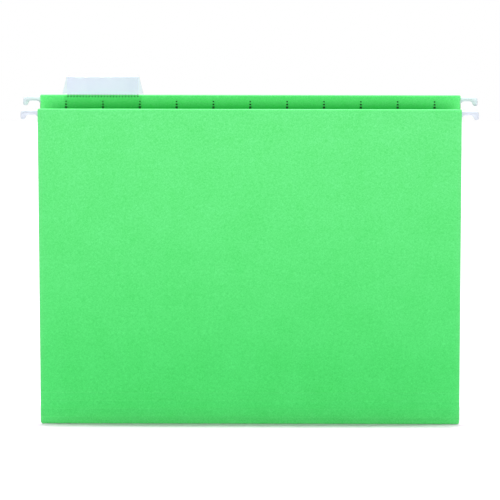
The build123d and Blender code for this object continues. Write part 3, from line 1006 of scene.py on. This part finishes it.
def make_camera(stage):
    """A long lens at the photograph's angle, level with the middle of the picture."""
    turn, rise = stage.azimuth, stage.elevation
    back = np.array([math.sin(turn) * math.cos(rise), -math.cos(turn) * math.cos(rise), math.sin(rise)])
    right = np.array([math.cos(turn), math.sin(turn), 0.0])
    target = FOLD_AXIS + np.cross(back, right) * stage.centre_height
    data = bpy.data.cameras.new("camera")
    data.sensor_width = 36.0
    data.lens = stage.lens
    data.clip_end = 4 * stage.distance
    camera = bpy.data.objects.new("camera", data)
    bpy.context.scene.collection.objects.link(camera)
    aim(camera, target + back * stage.distance, target)
    bpy.context.scene.camera = camera


class FOLDER_OT_covers(bpy.types.Operator):
    """Build the two card covers with their scores, flaps and slots"""

    bl_idname = "folder.covers"
    bl_label = "Card covers"

    def execute(self, context):
        card = context.scene.folder_card
        for name, side in SIDES.items():
            cover = make_cover(f"{name}_card", side, card)
            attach(cover, f"{name}_cover")
            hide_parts(f"{name}_panel")
        return {"FINISHED"}


class FOLDER_OT_bends(bpy.types.Operator):
    """Build the two halves of the bottom fold"""

    bl_idname = "folder.bends"
    bl_label = "Bottom fold"

    def execute(self, context):
        card = context.scene.folder_card
        for name, side in SIDES.items():
            bend, start, end = make_bend(f"{name}_bend", side, card)
            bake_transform(bend)
            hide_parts("bottom_fold")
        return {"FINISHED"}


class FOLDER_OT_hooks(bpy.types.Operator):
    """Build the four hook coats and finish the rods and the glue"""

    bl_idname = "folder.hooks"
    bl_label = "Hooks and rods"

    def execute(self, context):
        hook = context.scene.folder_hook
        steel = steel_finish(hook)
        glue = glue_finish(hook)
        for name, side in SIDES.items():
            for turn, hand in HANDS.items():
                tip = make_hook(f"{name}_{turn}_coat", side, hand, hook)
                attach(tip, f"{name}_cover")
                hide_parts(f"{name}_{turn}_hook_tip")
            for node, finish in ((f"{name}_hanger_rod", steel), (f"{name}_flap_glue", glue)):
                mesh = frame["nodes"][node].data
                mesh.materials.clear()
                mesh.materials.append(finish)
        return {"FINISHED"}


class FOLDER_OT_tab(bpy.types.Operator):
    """Build the clear tab: window, tongue and feet"""

    bl_idname = "folder.tab"
    bl_label = "Clear tab"

    def execute(self, context):
        tab = context.scene.folder_tab
        pitch = context.scene.folder_card.slot_pitch
        window = make_window("clear_window", tab)
        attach(window, "tab")
        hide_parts("tab_window")
        tongue = make_tongue("clear_tongue", tab)
        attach(tongue, "rear_cover")
        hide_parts("tab_tongue")
        feet = [make_foot(f"{turn}_tab_foot", TAB_X + hand * pitch, tab) for turn, hand in HANDS.items()]
        for foot in feet:
            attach(foot, "rear_cover")
        for film in (window, tongue, *feet):
            film.visible_shadow = False
            film.visible_diffuse = False
        return {"FINISHED"}


class FOLDER_OT_label(bpy.types.Operator):
    """Build the blank label in the tab"""

    bl_idname = "folder.label"
    bl_label = "Label"

    def execute(self, context):
        label = make_label("blank_label", context.scene.folder_tab)
        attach(label, "label")
        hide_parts("label_insert")
        return {"FINISHED"}


class FOLDER_OT_stage(bpy.types.Operator):
    """Set out the floor, the lamps and the camera"""

    bl_idname = "folder.stage"
    bl_label = "Stage"

    def execute(self, context):
        stage = context.scene.folder_stage
        make_floor(stage)
        make_world(stage)
        for name, watts, place, target, width, height in LAMPS:
            add_lamp(name, place, target, width, height, getattr(stage, watts))
        make_camera(stage)
        context.scene.view_settings.view_transform = "Standard"
        return {"FINISHED"}


class FOLDER_PT_panel(bpy.types.Panel):
    """Buttons that build the folder, in order"""

    bl_idname = "FOLDER_PT_panel"
    bl_label = "Hanging file folder"
    bl_space_type = "VIEW_3D"
    bl_region_type = "UI"
    bl_category = "Folder"

    def draw(self, context):
        for operator in OPERATORS:
            self.layout.operator(operator.bl_idname)
        for key in SETTINGS:
            settings = getattr(context.scene, key)
            box = self.layout.box()
            for name in settings.bl_rna.properties.keys():
                if name not in ("rna_type", "name"):
                    box.prop(settings, name)


SETTINGS = {
    "folder_card": FolderCardSettings,
    "folder_hook": FolderHookSettings,
    "folder_tab": FolderTabSettings,
    "folder_stage": FolderStageSettings,
}
OPERATORS = (
    FOLDER_OT_covers,
    FOLDER_OT_bends,
    FOLDER_OT_hooks,
    FOLDER_OT_tab,
    FOLDER_OT_label,
    FOLDER_OT_stage,
)


def register():
    """Adds the settings, operators and panel to Blender."""
    for key, settings in SETTINGS.items():
        bpy.utils.register_class(settings)
        setattr(bpy.types.Scene, key, bpy.props.PointerProperty(type=settings))
    for operator in OPERATORS:
        bpy.utils.register_class(operator)
    bpy.utils.register_class(FOLDER_PT_panel)


def unregister():
    """Takes the panel, operators and settings out of Blender."""
    bpy.utils.unregister_class(FOLDER_PT_panel)
    for operator in reversed(OPERATORS):
        bpy.utils.unregister_class(operator)
    for key, settings in reversed(SETTINGS.items()):
        delattr(bpy.types.Scene, key)
        bpy.utils.unregister_class(settings)


def main():
    """Builds every piece in order."""
    register()
    bpy.ops.folder.covers()
    bpy.ops.folder.bends()
    bpy.ops.folder.hooks()
    bpy.ops.folder.tab()
    bpy.ops.folder.label()
    bpy.ops.folder.stage()


if __name__ == "__main__":
    main()
